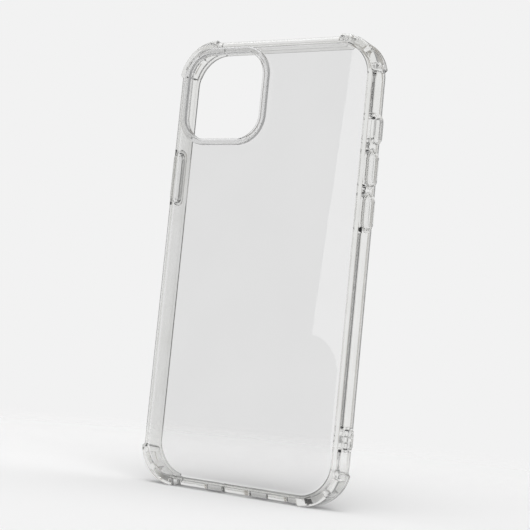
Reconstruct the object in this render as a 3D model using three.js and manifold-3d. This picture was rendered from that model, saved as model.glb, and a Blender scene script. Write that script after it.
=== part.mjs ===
// Clear shock-absorbing phone case: a hard clear back sheet in a soft clear bumper with air-cushion corners.
//
// Millimetres. While it is modelled, the origin is the middle of the floor that the phone's back lies on:
// X runs across the case, Y from that floor towards the screen, and Z up along the case. The finished group
// is then moved so that the case stands on Z = 0, centred on X and Y.
import * as THREE from "three";
import { mergeVertices } from "three/addons/utils/BufferGeometryUtils.js";
import Module from "manifold-3d";

// ---------------------------------------------------------------- Driving dimensions
// The phone that the case is made for
const PHONE_WIDTH = 78.1;
const PHONE_HEIGHT = 160.8;
const PHONE_DEPTH = 7.8;
const PHONE_CORNER_RADIUS = 13.0;

// Fits
const PHONE_PLAY = 0.2; // all round the phone's sides, and in front of its screen
const JOIN_GAP = 0.3; // between pieces that meet

// Walls of the bumper
const SIDE_WALL = 1.4;
const END_WALL = 1.9;
const BACK_THICKNESS = 1.4;
const BACK_EDGE_ROUND = 1.9; // how deep the back edge is rounded
const BACK_EDGE_SPREAD = 3.6; // how far that round reaches in from the side
const FRONT_EDGE_ROUND = 1.0;
const FLANGE_WIDTH = 1.2; // of the bumper's rim that frames the back sheet, inward of the phone's sides
const LIP_THICKNESS = 0.8; // of the rim in front of the screen
const LIP_REACH = 1.0; // of that rim over the screen's edge

// Corner cushions
const CUSHION_PROUD = 0.9; // outward of the straight walls
const CUSHION_BACK_RISE = 0.4;
const CUSHION_FRONT_RISE = 0.3;
const CUSHION_SIDE_REACH = 10.5; // down the side, from the phone's end
const CUSHION_END_REACH = 12.0; // along the end, from the phone's side
const POCKET_DEPTH = 1.4; // of the air pockets, outward from the phone
const POCKET_FLOOR_MARGIN = 1.2; // from the floor, and from the screen lip
const POCKET_END_MARGIN = 2.0; // from the ends of the cushion
const POCKET_RIB = 1.6; // rib between a cushion's two air pockets

// Camera opening and its guard
const CAMERA_WIDTH = 30.4;
const CAMERA_HEIGHT = 30.6;
const CAMERA_CORNER_RADIUS = 8.0;
const CAMERA_FROM_SIDE = 4.3; // camera block's edge, from the phone's left side
const CAMERA_FROM_TOP = 3.7;
const CAMERA_PLAY = 0.8;
const GUARD_COLLAR = 0.7; // wall that lines the sheet's opening
const GUARD_BRIM = 2.3; // width of the raised border
const GUARD_RISE = 1.7; // above the outer back
const GUARD_ROUND = 0.8;

// Button covers
const BUTTON_WIDTH = 5.2;
const BUTTON_PROUD = 1.4;
const BUTTON_ROUND = 0.7;
const BUTTON_FLANGE = 0.9; // of the web round the raised pad
const BUTTON_WEB = 0.5; // thickness of that web
const BUTTON_INNER_PLAY = 0.1; // between the web and the line of the wall's inner face
const BUTTON_RECESS_RIM = 0.9; // rim round the hollow that the phone's own button sits in
const BUTTON_RECESS_DEPTH = 0.8;
const VOLUME_LENGTH = 12.4;
const VOLUME_UP_FROM_TOP = 45.2;
const VOLUME_DOWN_FROM_TOP = 60.5;
const POWER_LENGTH = 19.2;
const POWER_FROM_TOP = 49.1;

// Switch window and its raised frame
const SWITCH_LENGTH = 7.2;
const SWITCH_WIDTH = 4.4;
const SWITCH_CORNER_RADIUS = 1.2;
const SWITCH_FRAME = 1.7; // width of the frame round the window
const SWITCH_PROUD = 1.2;
const SWITCH_ROUND = 0.6;
const SWITCH_FROM_TOP = 30.9;

// Strap eyelet
const EYELET_LENGTH = 8.8;
const EYELET_WIDTH = 5.2;
const EYELET_PROUD = 1.4;
const EYELET_ROUND = 0.8;
const EYELET_HOLE_LENGTH = 2.4;
const EYELET_HOLE_WIDTH = 2.6;
const EYELET_HOLE_RADIUS = 0.8;
const EYELET_BAR = 1.5; // bar between the two holes, which the strap goes round
const EYELET_FROM_BOTTOM = 21.6;

// Cut-outs in the bottom wall
const PORT_LENGTH = 12.4;
const PORT_WIDTH = 6.0;
const SLOT_WIDTH = 3.0;
const LEFT_SLOT_LENGTH = 12.6;
const RIGHT_SLOT_LENGTH = 8.8;
const SLOT_FROM_MIDDLE = 12.2; // near end of both speaker slots

// Fineness of round shapes
const CORNER_STEPS = 8; // in a quarter turn of a large corner
const SMALL_STEPS = 4; // in a quarter turn of a small corner
const EDGE_STEPS = 3; // across a rounded edge
const FAR = 400; // beyond the case, for shapes that cut right through it

// ---------------------------------------------------------------- Derived places
const CAVITY_WIDTH = PHONE_WIDTH + 2 * PHONE_PLAY;
const CAVITY_HEIGHT = PHONE_HEIGHT + 2 * PHONE_PLAY;
const CAVITY_DEPTH = PHONE_DEPTH + PHONE_PLAY;
const CAVITY_RADIUS = PHONE_CORNER_RADIUS + PHONE_PLAY;
const CAVITY_SIDE = CAVITY_WIDTH / 2;
const OUTER_SIDE = CAVITY_SIDE + SIDE_WALL;
const OUTER_END = CAVITY_HEIGHT / 2 + END_WALL;
const BACK_FACE = -BACK_THICKNESS;
const FRONT_FACE = CAVITY_DEPTH + LIP_THICKNESS;
const CUSHION_SIDE_END = PHONE_HEIGHT / 2 - CUSHION_SIDE_REACH;
const CUSHION_END_END = PHONE_WIDTH / 2 - CUSHION_END_REACH;
const MID_DEPTH = PHONE_DEPTH / 2;
const CAMERA_X = -PHONE_WIDTH / 2 + CAMERA_FROM_SIDE + CAMERA_WIDTH / 2;
const CAMERA_Z = PHONE_HEIGHT / 2 - CAMERA_FROM_TOP - CAMERA_HEIGHT / 2;
const GUARD_FACE = BACK_FACE - GUARD_RISE;

const wasm = await Module();
wasm.setup();

// ---------------------------------------------------------------- Materials
const hardClear = new THREE.MeshStandardMaterial({ color: 0xe9edee, roughness: 0.06, metalness: 0 });
const softClear = new THREE.MeshStandardMaterial({ color: 0xe3e6e4, roughness: 0.14, metalness: 0 });
const buttonClear = new THREE.MeshStandardMaterial({ color: 0xdfe3e2, roughness: 0.2, metalness: 0 });

// ---------------------------------------------------------------- Solids
// The manifold solid of a closed three.js geometry.
function solidOf(geometry) {
  const bare = geometry.clone();
  bare.deleteAttribute("normal");
  bare.deleteAttribute("uv");
  const merged = mergeVertices(bare, 1e-4);
  return new wasm.Manifold(
    new wasm.Mesh({
      numProp: 3,
      vertProperties: merged.attributes.position.array,
      triVerts: new Uint32Array(merged.index.array),
    }),
  );
}

// A named mesh of a manifold solid.
function meshOf(name, solid, material) {
  const made = solid.getMesh();
  const geometry = new THREE.BufferGeometry()
    .setAttribute("position", new THREE.BufferAttribute(made.vertProperties, 3))
    .setIndex(new THREE.BufferAttribute(made.triVerts, 1));
  geometry.computeVertexNormals();
  const mesh = new THREE.Mesh(geometry, material);
  mesh.name = name;
  return mesh;
}

function joined(solids) {
  return solids.reduce((whole, next) => whole.add(next));
}

function cut(solid, cutters) {
  return cutters.reduce((left, cutter) => left.subtract(cutter), solid);
}

// A rectangle with round corners, centred at (u, v); a radius of half its smaller side gives round ends.
function roundedRectangle({ width, height, radius, u = 0, v = 0 }) {
  const right = u + width / 2 - radius;
  const left = u - width / 2 + radius;
  const top = v + height / 2 - radius;
  const bottom = v - height / 2 + radius;
  const quarter = Math.PI / 2;
  const shape = new THREE.Shape();
  shape.absarc(right, top, radius, 0, quarter);
  shape.absarc(left, top, radius, quarter, 2 * quarter);
  shape.absarc(left, bottom, radius, 2 * quarter, 3 * quarter);
  shape.absarc(right, bottom, radius, 3 * quarter, 4 * quarter);
  return shape;
}

// The same outline with its border moved outward.
function grown(outline, by) {
  return {
    ...outline,
    width: outline.width + 2 * by,
    height: outline.height + 2 * by,
    radius: outline.radius + by,
  };
}

// Turns an extrusion's (u, v, length) into (x, y, z), for a length along X, Y or Z.
const ALONG = {
  x: new THREE.Matrix4().makeBasis(
    new THREE.Vector3(0, 1, 0),
    new THREE.Vector3(0, 0, 1),
    new THREE.Vector3(1, 0, 0),
  ),
  y: new THREE.Matrix4().makeBasis(
    new THREE.Vector3(-1, 0, 0),
    new THREE.Vector3(0, 0, 1),
    new THREE.Vector3(0, 1, 0),
  ),
  z: new THREE.Matrix4(),
};

// An outline extruded along one axis from low to high. Where round is given, both ends are rounded: to that
// depth, and as far in from the outline as spread. Along Y the outline's u runs against X, so it is mirrored.
function prism(outline, axis, low, high, { round = 0, spread = round, steps = CORNER_STEPS } = {}) {
  const seen = axis === "y" ? { ...outline, u: -(outline.u ?? 0) } : outline;
  const geometry = new THREE.ExtrudeGeometry(roundedRectangle(seen), {
    depth: high - low - 2 * round,
    curveSegments: steps,
    bevelEnabled: round > 0,
    bevelThickness: round,
    bevelSize: spread,
    bevelOffset: -spread,
    bevelSegments: EDGE_STEPS,
  });
  geometry.translate(0, 0, low + round);
  geometry.applyMatrix4(ALONG[axis]);
  return solidOf(geometry);
}

// A box between two corners, given as ranges.
function block([x0, x1], [y0, y1], [z0, z1]) {
  const geometry = new THREE.BoxGeometry(x1 - x0, y1 - y0, z1 - z0);
  geometry.translate((x0 + x1) / 2, (y0 + y1) / 2, (z0 + z1) / 2);
  return solidOf(geometry);
}

// ---------------------------------------------------------------- Bumper
const CAVITY = { width: CAVITY_WIDTH, height: CAVITY_HEIGHT, radius: CAVITY_RADIUS };
const SHEET_FRAME = grown(CAVITY, -FLANGE_WIDTH);
const CAMERA_OPENING = grown(
  { width: CAMERA_WIDTH, height: CAMERA_HEIGHT, radius: CAMERA_CORNER_RADIUS, u: CAMERA_X, v: CAMERA_Z },
  CAMERA_PLAY,
);

// The bumper's outline, proud of the straight walls by the given amount.
function bumperOutline(proud) {
  return {
    width: CAVITY_WIDTH + 2 * (SIDE_WALL + proud),
    height: CAVITY_HEIGHT + 2 * (END_WALL + proud),
    radius: CAVITY_RADIUS + SIDE_WALL + proud,
  };
}

// A convex prism through the case from back to front, on straight-sided corners given as [x, z] points.
function throughBlock(corners) {
  const geometry = new THREE.ExtrudeGeometry(new THREE.Shape(corners.map(([x, z]) => new THREE.Vector2(-x, z))), {
    depth: 2 * FAR,
    bevelEnabled: false,
  });
  geometry.translate(0, 0, -FAR);
  geometry.applyMatrix4(ALONG.y);
  return solidOf(geometry);
}

// The bumper's outer form, filled: a large round along the back edge and a small one along the front.
function envelope(proud, backRise, frontRise) {
  const outline = bumperOutline(proud);
  const back = BACK_FACE - backRise;
  const front = FRONT_FACE + frontRise;
  const fromBack = prism(outline, "y", back, front + FAR, {
    round: BACK_EDGE_ROUND + backRise,
    spread: BACK_EDGE_SPREAD,
  });
  const fromFront = prism(outline, "y", back - FAR, front, { round: FRONT_EDGE_ROUND + frontRise });
  return fromBack.intersect(fromFront);
}

// The space for the phone, the opening inside the screen lip, and the frame that the sheet fills.
const phoneSpace = joined([
  prism(CAVITY, "y", 0, CAVITY_DEPTH),
  prism(grown(CAVITY, -LIP_REACH), "y", 0, FAR),
  prism(SHEET_FRAME, "y", -FAR, CAVITY_DEPTH / 2),
]);
const guardSpace = prism(grown(CAMERA_OPENING, GUARD_BRIM + JOIN_GAP), "y", -FAR, BACK_FACE);
const wallRing = cut(envelope(0, 0, 0), [phoneSpace]);
const cushionRing = cut(envelope(CUSHION_PROUD, CUSHION_BACK_RISE, CUSHION_FRONT_RISE), [phoneSpace, guardSpace]);

// A straight wall: the stretch of the ring between two cushions, on the side that the signs choose.
function straightWall(sideX, sideZ, cutters) {
  const acrossEnd = CUSHION_END_END - JOIN_GAP;
  const alongSide = CUSHION_SIDE_END - JOIN_GAP;
  const rangeX = sideX === 0 ? [-acrossEnd, acrossEnd] : [Math.min(0, sideX * FAR), Math.max(0, sideX * FAR)];
  const rangeZ = sideZ === 0 ? [-alongSide, alongSide] : [Math.min(0, sideZ * FAR), Math.max(0, sideZ * FAR)];
  return cut(wallRing.intersect(block(rangeX, [-FAR, FAR], rangeZ)), cutters);
}

// One corner cushion, hollowed from the inside by two air pockets with a rib between them at the apex.
// Its ends slope up from the straight walls to the proud outer face.
function cornerCushion(sideX, sideZ, cutters) {
  const across = (x) => sideX * (CUSHION_END_END + x);
  const along = (z) => sideZ * (CUSHION_SIDE_END + z);
  const sloping = throughBlock([
    [across(0), along(0)],
    [sideX * OUTER_SIDE, along(0)],
    [sideX * (OUTER_SIDE + FAR), along(FAR)],
    [across(FAR), sideZ * (OUTER_END + FAR)],
    [across(0), sideZ * OUTER_END],
  ]);
  const inPockets = throughBlock([
    [across(POCKET_END_MARGIN), along(POCKET_END_MARGIN)],
    [across(FAR), along(POCKET_END_MARGIN)],
    [across(FAR), along(FAR)],
    [across(POCKET_END_MARGIN), along(FAR)],
  ]);
  const rib = new THREE.BoxGeometry(FAR, FAR, POCKET_RIB);
  rib.rotateY(-Math.atan2(sideZ, sideX));
  rib.translate(sideX * (CAVITY_SIDE - CAVITY_RADIUS), 0, sideZ * (CAVITY_HEIGHT / 2 - CAVITY_RADIUS));
  const pockets = prism(
    grown(CAVITY, POCKET_DEPTH),
    "y",
    POCKET_FLOOR_MARGIN,
    CAVITY_DEPTH - POCKET_FLOOR_MARGIN,
  )
    .intersect(inPockets)
    .subtract(solidOf(rib));
  return cut(cushionRing.intersect(sloping), [pockets, ...cutters]);
}

// ---------------------------------------------------------------- Pieces set in the side walls
// A piece that lines a hole in a side wall and stands proud of it, with its outer edge rounded.
function sidePlug(outline, side, inner, outer, round) {
  const far = inner - 2 * round;
  const whole =
    side > 0
      ? prism(outline, "x", far, outer, { round, steps: SMALL_STEPS })
      : prism(outline, "x", -outer, -far, { round, steps: SMALL_STEPS });
  const keep = side > 0 ? [inner, FAR] : [-FAR, -inner];
  return whole.intersect(block(keep, [-FAR, FAR], [-FAR, FAR]));
}

// A straight prism through a side wall, between two distances from the middle of the case.
function sidePrism(outline, side, inner, outer) {
  const [low, high] = side > 0 ? [inner, outer] : [-outer, -inner];
  return prism(outline, "x", low, high, { steps: SMALL_STEPS });
}

// An outline on a side wall, at mid-depth of the phone: its width lies along Y and its height along Z.
function sideOutline(width, length, radius, z) {
  return { width, height: length, radius, u: MID_DEPTH, v: z };
}

const BUTTON_WEB_INNER = CAVITY_SIDE + BUTTON_INNER_PLAY;
const BUTTON_WEB_OUTER = BUTTON_WEB_INNER + BUTTON_WEB;

// A button cover, and the stepped opening in the wall that it slides in.
function buttonCover(side, length, z) {
  const pad = sideOutline(BUTTON_WIDTH, length, BUTTON_WIDTH / 2, z);
  const cover = joined([
    sidePlug(pad, side, BUTTON_WEB_INNER, OUTER_SIDE + BUTTON_PROUD, BUTTON_ROUND),
    sidePrism(grown(pad, BUTTON_FLANGE), side, BUTTON_WEB_INNER, BUTTON_WEB_OUTER),
  ]);
  const recess = sidePrism(
    grown(pad, -BUTTON_RECESS_RIM),
    side,
    BUTTON_WEB_INNER - JOIN_GAP,
    BUTTON_WEB_INNER + BUTTON_RECESS_DEPTH,
  );
  const opening = joined([
    sidePrism(grown(pad, JOIN_GAP), side, 0, FAR),
    sidePrism(grown(pad, BUTTON_FLANGE + JOIN_GAP), side, 0, BUTTON_WEB_OUTER + JOIN_GAP),
  ]);
  return { cover: cover.subtract(recess), opening };
}

const topZ = (fromTop) => PHONE_HEIGHT / 2 - fromTop;
const volumeUp = buttonCover(1, VOLUME_LENGTH, topZ(VOLUME_UP_FROM_TOP));
const volumeDown = buttonCover(1, VOLUME_LENGTH, topZ(VOLUME_DOWN_FROM_TOP));
const power = buttonCover(-1, POWER_LENGTH, topZ(POWER_FROM_TOP));

// Frame round the ring/silent switch's window.
const switchWindow = sideOutline(SWITCH_WIDTH, SWITCH_LENGTH, SWITCH_CORNER_RADIUS, topZ(SWITCH_FROM_TOP));
const switchFrame = grown(switchWindow, SWITCH_FRAME);
const switchGuard = sidePlug(switchFrame, 1, CAVITY_SIDE, OUTER_SIDE + SWITCH_PROUD, SWITCH_ROUND).subtract(
  sidePrism(switchWindow, 1, 0, FAR),
);
const switchOpening = sidePrism(grown(switchFrame, JOIN_GAP), 1, 0, FAR);

// Boss with two holes for a wrist strap.
const eyeletZ = -PHONE_HEIGHT / 2 + EYELET_FROM_BOTTOM;
const eyeletOutline = sideOutline(EYELET_WIDTH, EYELET_LENGTH, EYELET_WIDTH / 2, eyeletZ);
const eyeletHoles = [-1, 1].map((way) =>
  sidePrism(
    sideOutline(
      EYELET_HOLE_WIDTH,
      EYELET_HOLE_LENGTH,
      EYELET_HOLE_RADIUS,
      eyeletZ + (way * (EYELET_BAR + EYELET_HOLE_LENGTH)) / 2,
    ),
    1,
    0,
    FAR,
  ),
);
const eyelet = cut(sidePlug(eyeletOutline, 1, CAVITY_SIDE, OUTER_SIDE + EYELET_PROUD, EYELET_ROUND), eyeletHoles);
const eyeletOpening = sidePrism(grown(eyeletOutline, JOIN_GAP), 1, 0, FAR);

// ---------------------------------------------------------------- Cut-outs in the bottom wall
// A round-ended slot through the bottom wall, between two places across the case.
function bottomSlot(left, right, width) {
  const outline = { width: right - left, height: width, radius: width / 2, u: (left + right) / 2, v: MID_DEPTH };
  return prism(outline, "z", -FAR, 0, { steps: SMALL_STEPS });
}

const bottomCuts = [
  bottomSlot(-PORT_LENGTH / 2, PORT_LENGTH / 2, PORT_WIDTH),
  bottomSlot(-SLOT_FROM_MIDDLE - LEFT_SLOT_LENGTH, -SLOT_FROM_MIDDLE, SLOT_WIDTH),
  bottomSlot(SLOT_FROM_MIDDLE, SLOT_FROM_MIDDLE + RIGHT_SLOT_LENGTH, SLOT_WIDTH),
];

// ---------------------------------------------------------------- Back sheet and camera guard
const sheet = prism(grown(SHEET_FRAME, -JOIN_GAP), "y", BACK_FACE, 0).subtract(
  prism(grown(CAMERA_OPENING, GUARD_COLLAR + JOIN_GAP), "y", -FAR, FAR),
);

const guardBrim = prism(grown(CAMERA_OPENING, GUARD_BRIM), "y", GUARD_FACE, FAR, { round: GUARD_ROUND }).intersect(
  block([-FAR, FAR], [-FAR, BACK_FACE - JOIN_GAP], [-FAR, FAR]),
);
const guard = guardBrim
  .add(prism(grown(CAMERA_OPENING, GUARD_COLLAR), "y", GUARD_FACE + GUARD_ROUND, 0))
  .subtract(prism(CAMERA_OPENING, "y", -FAR, FAR));

// ---------------------------------------------------------------- Assembly
const phoneCase = new THREE.Group();
phoneCase.add(meshOf("back_plate", sheet, hardClear));
phoneCase.add(meshOf("camera_guard", guard, hardClear));
phoneCase.add(meshOf("wall_top", straightWall(0, 1, []), softClear));
phoneCase.add(meshOf("wall_bottom", straightWall(0, -1, bottomCuts), softClear));
phoneCase.add(meshOf("wall_left", straightWall(-1, 0, [power.opening]), softClear));
phoneCase.add(
  meshOf(
    "wall_right",
    straightWall(1, 0, [volumeUp.opening, volumeDown.opening, switchOpening, eyeletOpening]),
    softClear,
  ),
);
for (const [endName, sideZ] of Object.entries({ top: 1, bottom: -1 })) {
  for (const [sideName, sideX] of Object.entries({ left: -1, right: 1 })) {
    const cutters = sideZ < 0 ? bottomCuts : [];
    phoneCase.add(
      meshOf(`corner_cushion_${endName}_${sideName}`, cornerCushion(sideX, sideZ, cutters), softClear),
    );
  }
}
phoneCase.add(meshOf("switch_guard", switchGuard, softClear));
phoneCase.add(meshOf("strap_eyelet", eyelet, softClear));
phoneCase.add(meshOf("button_volume_up", volumeUp.cover, buttonClear));
phoneCase.add(meshOf("button_volume_down", volumeDown.cover, buttonClear));
phoneCase.add(meshOf("button_power", power.cover, buttonClear));

// The case stands on its bottom cushions, centred across and in depth.
const extent = new THREE.Box3().setFromObject(phoneCase);
const middle = extent.getCenter(new THREE.Vector3());
phoneCase.position.set(-middle.x, -middle.y, -extent.min.z);

export default phoneCase;
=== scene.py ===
"""Clear shock-absorbing phone case: the moulded pieces, their clear plastics and a pale studio."""

import logging
import math
from collections.abc import Iterable, Sequence
from dataclasses import astuple, dataclass, fields, replace
from enum import Enum
from functools import partial

import bmesh
import bpy
import numpy as np
from bpy.types import ID, Material, Node, NodeOutputs, NodeSocket, NodeTree, Object, World
from mathutils import Matrix, Vector


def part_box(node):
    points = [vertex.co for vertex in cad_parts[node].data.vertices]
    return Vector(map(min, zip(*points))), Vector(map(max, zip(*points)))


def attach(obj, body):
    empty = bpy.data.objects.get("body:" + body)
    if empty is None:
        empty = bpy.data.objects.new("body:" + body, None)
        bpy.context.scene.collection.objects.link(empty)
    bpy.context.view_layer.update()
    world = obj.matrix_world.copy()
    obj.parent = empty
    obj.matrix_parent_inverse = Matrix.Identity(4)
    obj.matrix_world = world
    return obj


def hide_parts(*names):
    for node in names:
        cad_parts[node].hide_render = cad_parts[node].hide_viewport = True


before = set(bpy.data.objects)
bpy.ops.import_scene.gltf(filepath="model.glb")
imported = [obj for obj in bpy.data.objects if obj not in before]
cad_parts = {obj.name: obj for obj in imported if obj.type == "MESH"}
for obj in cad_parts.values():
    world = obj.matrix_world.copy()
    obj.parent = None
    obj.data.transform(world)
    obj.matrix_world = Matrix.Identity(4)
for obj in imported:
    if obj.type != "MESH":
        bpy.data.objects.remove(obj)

LOG = logging.getLogger("phone_case")
Pair = tuple[float, float]
Triple = tuple[float, float, float]
MM = 0.001  # metres in a millimetre
MERGE_DISTANCE = 2e-6  # metres; closer points of one piece are one point
SHARP_ANGLE = math.radians(32)  # folds over this stay crisp in shading
OVERRUN = 3.0  # mm that a cutting shape runs past what it cuts
QUARTER = math.pi / 2
# what a sweep's path and then its section carry as named values
SWEEP_NAMES = ("spot", "out", "lift", "reach", "depth", "outer", "bulge", "rise", "hollow")


# ---- Small tools
class Finish(Enum):
    """The record's material slots."""

    SHEET = "clear_sheet"
    BUMPER = "clear_bumper"
    BUTTON = "clear_button"


class Body(Enum):
    """The bodies that pieces ride on."""

    SHELL = "shell"
    VOLUME_UP = "volume_up"
    VOLUME_DOWN = "volume_down"
    POWER = "power"


class Along(Enum):
    """The axis that a stack of outlines is built along, as the two axes of the outlines' u and v."""

    X = (1, 2)
    Y = (0, 2)
    Z = (0, 1)


def linear(colour: str) -> tuple[float, float, float, float]:
    """Turns an sRGB hex colour into linear values.

    Args:
        colour: The colour as #RRGGBB.

    Returns:
        Linear red, green and blue, and an alpha of 1.
    """
    shares = [int(colour[i : i + 2], 16) / 255 for i in (1, 3, 5)]
    return (*(s / 12.92 if s <= 0.04045 else ((s + 0.055) / 1.055) ** 2.4 for s in shares), 1.0)


def smooth_step(value: float, low: float, high: float) -> float:
    """The share from 0 at low to 1 at high, easing in and out."""
    share = min(1.0, max(0.0, (value - low) / (high - low)))
    return share * share * (3 - 2 * share)


def quarter_turn(steps: int) -> list[float]:
    """The angles of a quarter turn in equal steps, in radians, with both ends."""
    return [QUARTER * step / steps for step in range(steps + 1)]


def add_node(
    tree: NodeTree, kind: str, inputs: dict[str | int, object] | None = None, **settings: object
) -> Node:
    """Adds one node with its settings and links.

    Args:
        tree: The tree that the node goes in.
        kind: The node's type name.
        inputs: Sockets, by name or place, and what each gets: another node's output to link, or a value.
        settings: The node's attributes.

    Returns:
        The new node.
    """
    node = tree.nodes.new(kind)
    for name, value in settings.items():
        setattr(node, name, value)
    for key, value in (inputs or {}).items():
        if isinstance(value, NodeSocket):
            tree.links.new(value, node.inputs[key])
        else:
            node.inputs[key].default_value = value
    return node


def math_node(tree: NodeTree, operation: str, *values: object) -> NodeSocket:
    """Adds a Math node with an operation and its inputs in order, and returns its result."""
    return add_node(tree, "ShaderNodeMath", dict(enumerate(values)), operation=operation).outputs[0]


def vector_node(tree: NodeTree, operation: str, *values: object) -> NodeSocket:
    """Adds a Vector Math node and returns its vector. With SCALE, the second value is the scale."""
    keys = (0, "Scale") if operation == "SCALE" else (0, 1)
    return add_node(tree, "ShaderNodeVectorMath", dict(zip(keys, values)), operation=operation).outputs[0]


def split(tree: NodeTree, vector: NodeSocket) -> NodeOutputs:
    """Adds a Separate XYZ node and returns its outputs."""
    return add_node(tree, "ShaderNodeSeparateXYZ", {0: vector}).outputs


def emptied(owner: Material | World) -> NodeTree:
    """The node tree of a new material or surround, with nothing in it."""
    owner.use_nodes = True
    owner.node_tree.nodes.clear()
    return owner.node_tree


def finish_mixed(tree: NodeTree, share: NodeSocket, first: Node, second: Node) -> None:
    """Mixes two shaders, the second by the given share, and makes them the material's surface."""
    both = {0: share, 1: first.outputs[0], 2: second.outputs[0]}
    mixed = add_node(tree, "ShaderNodeMixShader", both)
    add_node(tree, "ShaderNodeOutputMaterial", {"Surface": mixed.outputs[0]})


def node_box(node: str) -> tuple[np.ndarray, np.ndarray]:
    """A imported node's lowest and highest corners, in millimetres."""
    low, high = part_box(node)
    return np.array(low) / MM, np.array(high) / MM


def seat(piece: Object, body: Body, nodes: Iterable[str]) -> None:
    """Puts a finished piece on its body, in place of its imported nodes.

    Args:
        piece: The finished piece.
        body: The body that it rides on.
        nodes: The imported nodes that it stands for.
    """
    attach(piece, body.value)
    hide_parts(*nodes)
    LOG.info("%s: %d faces on %s", piece.name, len(piece.data.polygons), body.value)


# ---- Outlines and solids
@dataclass(frozen=True)
class Outline:
    """A rounded rectangle about a centre, in millimetres."""

    half_u: float
    half_v: float
    radius: float
    u: float = 0.0
    v: float = 0.0

    SMALLEST_RADIUS = 0.02

    @classmethod
    def of_node(cls, node: str, shrunk: float = 0.0) -> "Outline":
        """The round-ended outline of a side piece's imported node, along Y and Z."""
        low, high = node_box(node)
        half_y, half_z = (high[1] - low[1]) / 2 - shrunk, (high[2] - low[2]) / 2 - shrunk
        return cls(half_y, half_z, half_y, (low[1] + high[1]) / 2, (low[2] + high[2]) / 2)

    def grown(self, by: float) -> "Outline":
        """The outline moved outward by the given amount."""
        radius = max(self.radius + by, self.SMALLEST_RADIUS)
        return Outline(self.half_u + by, self.half_v + by, radius, self.u, self.v)

    def rounded_top(self, top: float, edge: float, steps: int) -> list[tuple["Outline", float]]:
        """Levels that round a solid's top edge, in steps, with the outline drawn in as they rise."""
        turns = quarter_turn(steps)
        return [(self.grown(-edge * (1 - math.cos(t))), top - edge * (1 - math.sin(t))) for t in turns]

    def corners(self) -> list[Triple]:
        """Each corner's centre, and the turn at which its round starts, anticlockwise."""
        flat_u, flat_v = self.half_u - self.radius, self.half_v - self.radius
        signs = ((1, 1), (-1, 1), (-1, -1), (1, -1))
        return [(self.u + a * flat_u, self.v + b * flat_v, QUARTER * i) for i, (a, b) in enumerate(signs)]

    def points(self, steps: int) -> np.ndarray:
        """Rows of u and v along the outline, anticlockwise, with the given steps in each quarter turn."""
        rows = []
        for u, v, start in self.corners():
            for turn in quarter_turn(steps):
                way = start + turn
                rows.append((u + self.radius * math.cos(way), v + self.radius * math.sin(way)))
        return np.array(rows)


def new_object(name: str, data: ID) -> Object:
    """An object at the origin that shows a mesh, a camera or a lamp."""
    made = bpy.data.objects.new(name, data)
    bpy.context.scene.collection.objects.link(made)
    return made


def cleaned(obj: Object) -> Object:
    """Merges a mesh object's doubled points, turns its faces outward and returns it."""
    work = bmesh.new()
    work.from_mesh(obj.data)
    bmesh.ops.remove_doubles(work, verts=work.verts, dist=MERGE_DISTANCE)
    bmesh.ops.dissolve_degenerate(work, edges=work.edges, dist=MERGE_DISTANCE)
    bmesh.ops.recalc_face_normals(work, faces=work.faces)
    work.to_mesh(obj.data)
    work.free()
    return obj


def stack(name: str, along: Along, levels: Sequence[tuple[Outline, float]], steps: int = 10) -> Object:
    """Lofts a closed solid through outlines at successive levels.

    Args:
        name: The object's name.
        along: The axis of the levels.
        levels: Each outline and its place along the axis, in millimetres of the row frame.
        steps: Steps in each quarter turn of an outline.

    Returns:
        The solid, with its faces outward.
    """
    rings = []
    for outline, level in levels:
        flat = outline.points(steps)
        ring = np.full((len(flat), 3), level, dtype=float)
        ring[:, along.value] = flat
        rings.append(ring * MM)
    count, last = len(rings[0]), len(rings) - 1
    faces = [tuple(range(count)), tuple(reversed(range(last * count, (last + 1) * count)))]
    for low in range(0, last * count, count):
        for i in range(count):
            j = (i + 1) % count
            faces.append((low + i, low + count + i, low + count + j, low + j))
    mesh = bpy.data.meshes.new(name)
    mesh.from_pydata(np.concatenate(rings).tolist(), [], faces)
    return cleaned(new_object(name, mesh))


def levelled(obj: Object, low: float, high: float) -> Object:
    """Flattens what stands past two heights in metres, so that a piece has level feet, and returns it."""
    for vertex in obj.data.vertices:
        vertex.co.z = min(high, max(low, vertex.co.z))
    return cleaned(obj)


def plain_mesh(obj: Object) -> Object:
    """Turns an object's evaluated result into its own plain mesh, without modifiers, and returns it."""
    graph = bpy.context.evaluated_depsgraph_get()
    mesh = bpy.data.meshes.new_from_object(obj.evaluated_get(graph), depsgraph=graph)
    obj.modifiers.clear()
    old = obj.data
    obj.data = mesh
    bpy.data.meshes.remove(old)
    return obj


def combine(body: Object, tool: Object, operation: str) -> Object:
    """Adds a tool to a body, or takes it away.

    Args:
        body: The solid that is changed.
        tool: The other solid, which is removed afterwards.
        operation: UNION or DIFFERENCE.

    Returns:
        The body.
    """
    modifier = body.modifiers.new("combine", "BOOLEAN")
    modifier.operation = operation
    modifier.solver = "MANIFOLD"
    modifier.object = tool
    plain_mesh(body)
    bpy.data.objects.remove(tool)
    return body


def polished(obj: Object, material: Material) -> Object:
    """Gives a finished piece its only material and smooth shading with crisp folds, and returns it."""
    obj.data.materials.clear()
    obj.data.materials.append(material)
    for face in obj.data.polygons:
        face.material_index = 0
    obj.data.shade_smooth()
    obj.data.set_sharp_from_angle(angle=SHARP_ANGLE)
    modifier = obj.modifiers.new("weighted", "WEIGHTED_NORMAL")
    modifier.keep_sharp = True
    modifier.weight = 100
    plain_mesh(obj)
    for name in [a.name for a in obj.data.attributes if a.name in SWEEP_NAMES]:
        obj.data.attributes.remove(obj.data.attributes[name])
    return obj


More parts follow.
